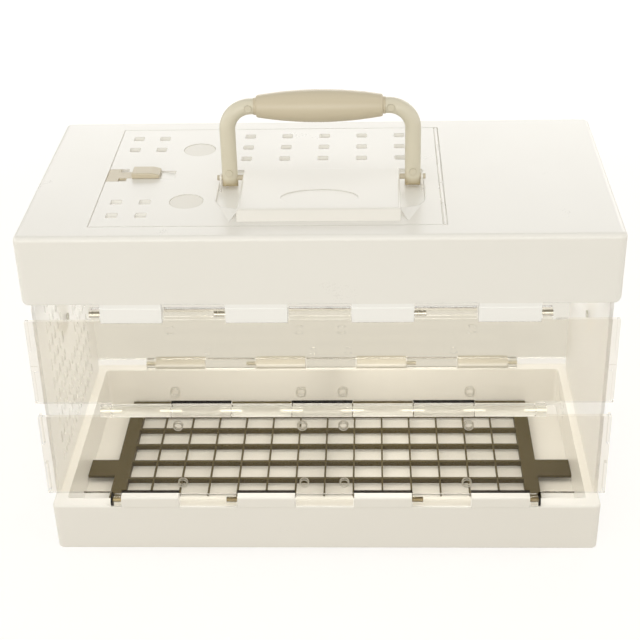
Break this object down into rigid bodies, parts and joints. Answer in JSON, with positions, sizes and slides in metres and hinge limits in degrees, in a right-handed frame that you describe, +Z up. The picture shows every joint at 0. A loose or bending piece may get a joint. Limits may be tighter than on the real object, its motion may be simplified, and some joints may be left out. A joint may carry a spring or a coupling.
{
  "type": "bird carrier",
  "caption": "Oblong folding bird carrier: moulded tray and deep cover joined by clear hinged walls, with a floor grate, hinged vented lid, sliding latch and fold-down carrying handle.",
  "frame": {"origin": "middle of the tray's underside, on the surface it stands on", "axes": "+X along the carrier to the right of someone facing its front, +Y from front to back, +Z up"},
  "size_m": [0.362, 0.18, 0.2923],
  "materials": {
    "cream_plastic": "gloss cream",
    "clear_plastic": "clear, faint warm tint",
    "beige_plastic": "satin beige",
    "milky_plastic": "milky, half clear",
    "grate_plastic": "satin dark brown",
    "port_plastic": "gloss dark cream",
    "brass_pin": "dull dark brass",
    "steel_pin": "plain"
  },
  "bodies": {
    "base": {"base_tray": "cream_plastic", "floor_grate": "grate_plastic"},
    "front_lower": {"front_lower_panel": "clear_plastic", "front_bottom_pins": "brass_pin"},
    "front_upper": {"front_upper_panel": "clear_plastic", "front_middle_pins": "steel_pin", "front_top_pins": "steel_pin"},
    "back_lower": {"back_lower_panel": "clear_plastic", "back_bottom_pins": "brass_pin"},
    "back_upper": {"back_upper_panel": "clear_plastic", "back_middle_pins": "steel_pin", "back_top_pins": "steel_pin"},
    "cover": {"cover_shell": "cream_plastic"},
    "end_left": {"end_panel_left": "milky_plastic", "end_strap_left": "cream_plastic", "end_hinge_pin_left": "steel_pin", "strap_rivets_left": "steel_pin"},
    "end_right": {"end_panel_right": "milky_plastic", "end_strap_right": "cream_plastic", "end_hinge_pin_right": "steel_pin", "strap_rivets_right": "steel_pin"},
    "lid": {"lid_panel": "cream_plastic", "lid_hinge_pin": "steel_pin", "port_cap_front": "port_plastic", "port_cap_back": "port_plastic", "handle_bracket_left": "cream_plastic", "handle_bracket_right": "cream_plastic", "handle_pivot_pins": "brass_pin"},
    "latch": {"latch_slider": "beige_plastic", "latch_keeper": "beige_plastic"},
    "handle": {"handle_bail": "beige_plastic", "handle_grip": "beige_plastic", "handle_screws": "beige_plastic"}
  },
  "joints": [
    {"name": "wall_fold", "type": "hinge", "parent": "base", "child": "front_lower", "pos_m": [0, -0.0856, 0.0378], "axis": [-1, 0, 0], "range_deg": [0, 85]},
    {"name": "front_middle_hinge", "type": "hinge", "parent": "front_lower", "child": "front_upper", "pos_m": [0, -0.0856, 0.1074], "axis": [1, 0, 0], "range_deg": [0, 170]},
    {"name": "front_top_hinge", "type": "hinge", "parent": "front_upper", "child": "cover", "pos_m": [0, -0.0856, 0.177], "axis": [-1, 0, 0], "range_deg": [0, 85]},
    {"name": "back_bottom_hinge", "type": "hinge", "parent": "base", "child": "back_lower", "pos_m": [0, 0.0856, 0.0378], "axis": [1, 0, 0], "range_deg": [0, 85]},
    {"name": "back_middle_hinge", "type": "hinge", "parent": "back_lower", "child": "back_upper", "pos_m": [0, 0.0856, 0.1074], "axis": [-1, 0, 0], "range_deg": [0, 170]},
    {"name": "end_left_hinge", "type": "hinge", "parent": "cover", "child": "end_left", "pos_m": [-0.1773, 0, 0.18306], "axis": [0, 1, 0], "range_deg": [0, 90]},
    {"name": "end_right_hinge", "type": "hinge", "parent": "cover", "child": "end_right", "pos_m": [0.1773, 0, 0.18306], "axis": [0, -1, 0], "range_deg": [0, 90]},
    {"name": "lid_hinge", "type": "hinge", "parent": "cover", "child": "lid", "pos_m": [0.0749, 0, 0.2298], "axis": [0, 1, 0], "range_deg": [0, 95]},
    {"name": "latch_slide", "type": "slide", "parent": "lid", "child": "latch", "axis": [1, 0, 0], "range_m": [0, 0.005]},
    {"name": "handle_swing", "type": "hinge", "parent": "lid", "child": "handle", "pos_m": [0, -0.014, 0.235], "axis": [1, 0, 0], "range_deg": [0, 73]}
  ],
  "couplings": [
    {"joint": "front_middle_hinge", "follows": "wall_fold", "ratio": 2},
    {"joint": "front_top_hinge", "follows": "wall_fold", "ratio": 1},
    {"joint": "back_bottom_hinge", "follows": "wall_fold", "ratio": 1},
    {"joint": "back_middle_hinge", "follows": "wall_fold", "ratio": 2},
    {"joint": "end_left_hinge", "follows": "wall_fold", "ratio": 1.0588},
    {"joint": "end_right_hinge", "follows": "wall_fold", "ratio": 1.0588}
  ]
}
